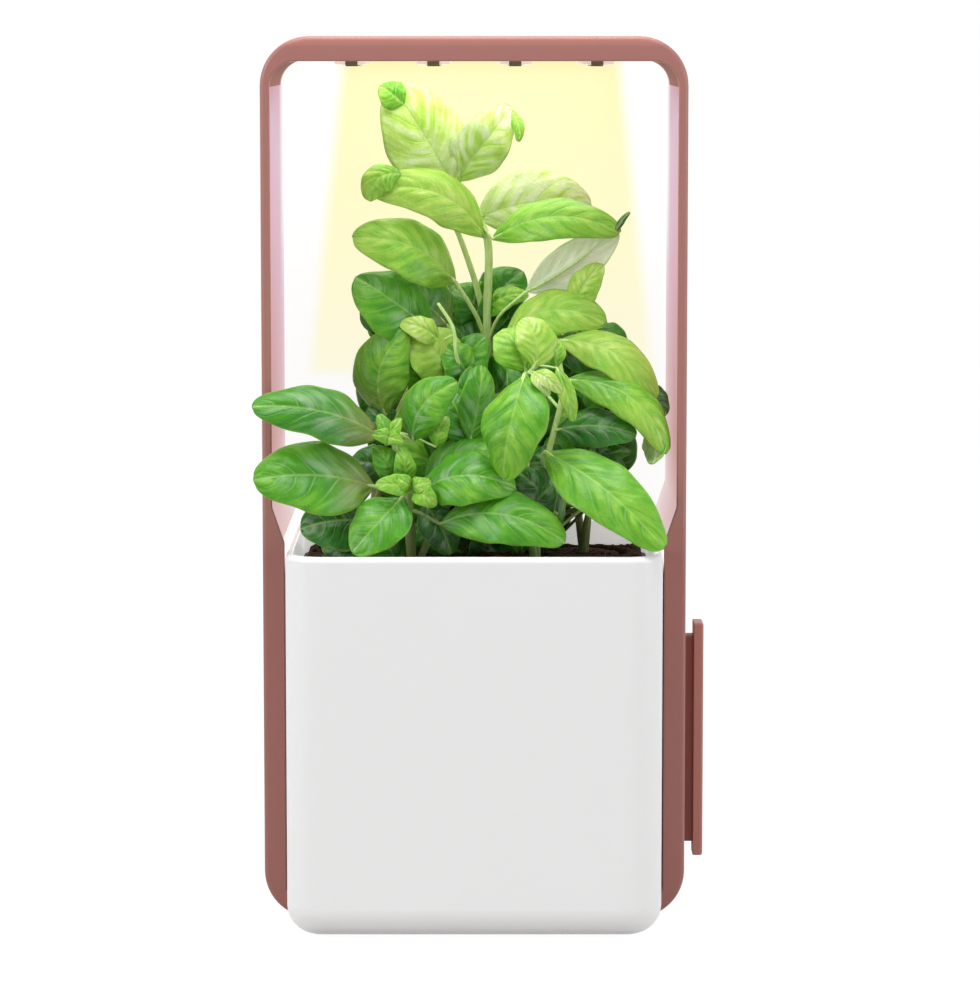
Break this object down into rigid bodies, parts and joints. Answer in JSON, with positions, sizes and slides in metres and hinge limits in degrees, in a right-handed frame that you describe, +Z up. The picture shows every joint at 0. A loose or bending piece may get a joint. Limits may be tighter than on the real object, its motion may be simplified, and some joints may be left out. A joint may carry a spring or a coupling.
{
  "type": "countertop hydroponic garden",
  "caption": "Free-standing lamp hoop round a slide-out water tub, with potted basil on a planting deck, a pump, a float gauge, a filling flap and a side rocker.",
  "frame": {"origin": "middle of the underside of the hoop's base pad, on the hoop's two centre planes", "axes": "+X to the right, -Y towards the front, +Z up"},
  "size_m": [0.2116, 0.162, 0.42],
  "materials": {
    "rose_shell": "satin",
    "rose_cover": "satin",
    "rose_neck": "satin",
    "light_wall": "matt",
    "white_panel": "satin",
    "white_tub": "satin",
    "white_tray": "satin",
    "clear_lens": "gloss",
    "dark_cap": "satin",
    "led_phosphor": "matt",
    "aluminium_plate": "brushed",
    "steel_part": "satin",
    "circuit_board": "satin",
    "board_part": "matt",
    "flex_lead": "satin",
    "copper_coil": "satin",
    "black_plastic": "satin",
    "silicone_pad": "matt",
    "deck_plastic": "satin",
    "coco_fibre": "matt",
    "pot_plastic": "satin",
    "plug_peat": "matt",
    "basil_leaf": "satin",
    "magnet_nickel": "gloss",
    "silicone_tube": "satin",
    "float_foam": "matt"
  },
  "bodies": {
    "frame": {"hoop_shell": "rose_shell", "base_cover": "rose_cover", "cheek_cover_left": "rose_cover", "cheek_cover_right": "rose_cover", "light_wall_left": "light_wall", "light_wall_right": "light_wall", "lamp_tray": "white_tray", "lamp_lenses": "clear_lens", "glare_caps": "dark_cap", "led_emitters": "led_phosphor", "led_board": "circuit_board", "heat_spreader": "aluminium_plate", "lamp_screws": "steel_part", "cover_screws": "steel_part", "back_panel": "white_panel", "base_pad": "silicone_pad", "flex_leads": "flex_lead", "flex_plugs": "board_part", "control_board": "circuit_board", "board_parts": "board_part", "drive_coil": "copper_coil", "power_inlet": "black_plastic", "rear_bumpers": "silicone_pad", "rocker_cradle": "steel_part", "rocker_pin": "steel_part", "rocker_springs": "steel_part", "rocker_board": "circuit_board", "hall_sensors": "board_part"},
    "rocker": {"rocker_bar": "rose_shell", "rocker_neck": "rose_neck", "rocker_magnets": "magnet_nickel"},
    "tub": {"tub_shell": "white_tub", "tub_glides": "silicone_pad", "grow_deck": "deck_plastic", "coco_bed": "coco_fibre", "grow_plugs": "plug_peat", "net_pot_1": "pot_plastic", "net_pot_2": "pot_plastic", "net_pot_3": "pot_plastic", "net_pot_4": "pot_plastic", "net_pot_5": "pot_plastic", "basil_1": "basil_leaf", "basil_2": "basil_leaf", "basil_3": "basil_leaf", "basil_4": "basil_leaf", "basil_5": "basil_leaf", "pump_base": "black_plastic", "pump_shaft": "steel_part", "pump_housing": "black_plastic", "riser_tube": "silicone_tube", "float_guide": "white_tray", "guide_cap": "white_tray", "fill_port": "white_tray", "flap_pin": "steel_part"},
    "float": {"float_body": "float_foam", "float_stem": "float_foam"},
    "impeller": {"impeller": "black_plastic", "impeller_magnet": "magnet_nickel"},
    "flap": {"fill_flap": "white_tray"}
  },
  "joints": [
    {"name": "tub_slide", "type": "slide", "parent": "frame", "child": "tub", "axis": [0, -1, 0], "range_m": [0, 0.105]},
    {"name": "rocker_tilt", "type": "hinge", "parent": "frame", "child": "rocker", "pos_m": [0.0954, 0, 0.078], "axis": [0, 1, 0], "range_deg": [-1.5, 1.5], "stiffness_Nm_per_rad": 5},
    {"name": "float_rise", "type": "slide", "parent": "tub", "child": "float", "axis": [0, 0, 1], "range_m": [0, 0.016]},
    {"name": "impeller_spin", "type": "hinge", "parent": "tub", "child": "impeller", "pos_m": [0.026, 0.005, 0.024], "axis": [0, 0, 1], "continuous": true},
    {"name": "flap_hinge", "type": "hinge", "parent": "tub", "child": "flap", "pos_m": [-0.0655, -0.071, 0.1657], "axis": [-1, 0, 0], "range_deg": [0, 95]}
  ]
}
